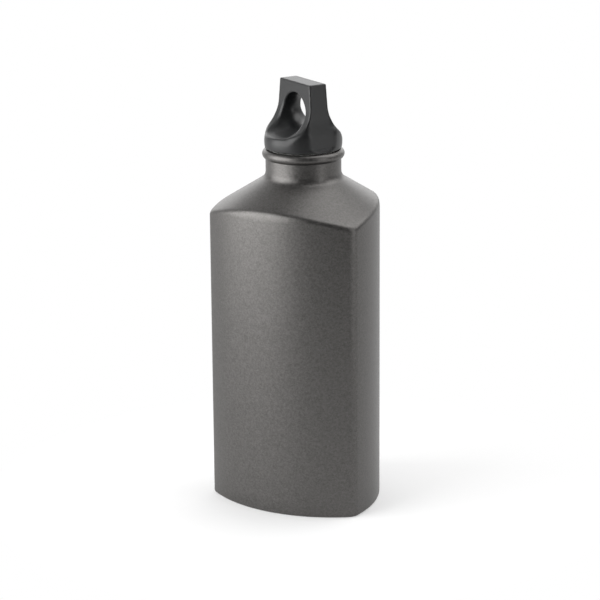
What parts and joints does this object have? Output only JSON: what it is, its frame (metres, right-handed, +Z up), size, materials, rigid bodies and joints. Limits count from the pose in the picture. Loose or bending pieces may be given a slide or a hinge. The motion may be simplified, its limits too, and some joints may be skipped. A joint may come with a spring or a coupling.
{
  "type": "aluminium water bottle",
  "caption": "Slim metal drinking bottle with bulging faces and rounded corners, a round shoulder and neck, and a black screw cap shaped as a carrying loop.",
  "frame": {"origin": "on the neck axis, in the plane that the bottle stands on", "axes": "+Z up along the neck axis; one upright corner of the body points along -X and the face opposite it looks along +X"},
  "size_m": [0.0779, 0.0768, 0.1962],
  "materials": {
    "coated_aluminium": "satin powder coat with a fine metallic grain",
    "natural_plastic": "moulded, natural",
    "seal_rubber": "matt silicone",
    "black_plastic": "moulded, finely eroded"
  },
  "bodies": {
    "bottle": {"bottle_body": "coated_aluminium", "neck_thread_insert": "natural_plastic"},
    "seal": {"cap_gasket": "seal_rubber"},
    "cap": {"cap_plug": "black_plastic", "cap_shell": "black_plastic"}
  },
  "joints": [
    {"name": "cap_lift", "type": "slide", "parent": "bottle", "child": "seal", "axis": [0, 0, 1], "range_m": [0, 0.012]},
    {"name": "cap_turn", "type": "hinge", "parent": "seal", "child": "cap", "pos_m": [0, 0, 0.167], "axis": [0, 0, 1], "range_deg": [0, 720]}
  ],
  "couplings": [
    {"joint": "cap_lift", "follows": "cap_turn", "m_per_rad": 0.0009549}
  ]
}
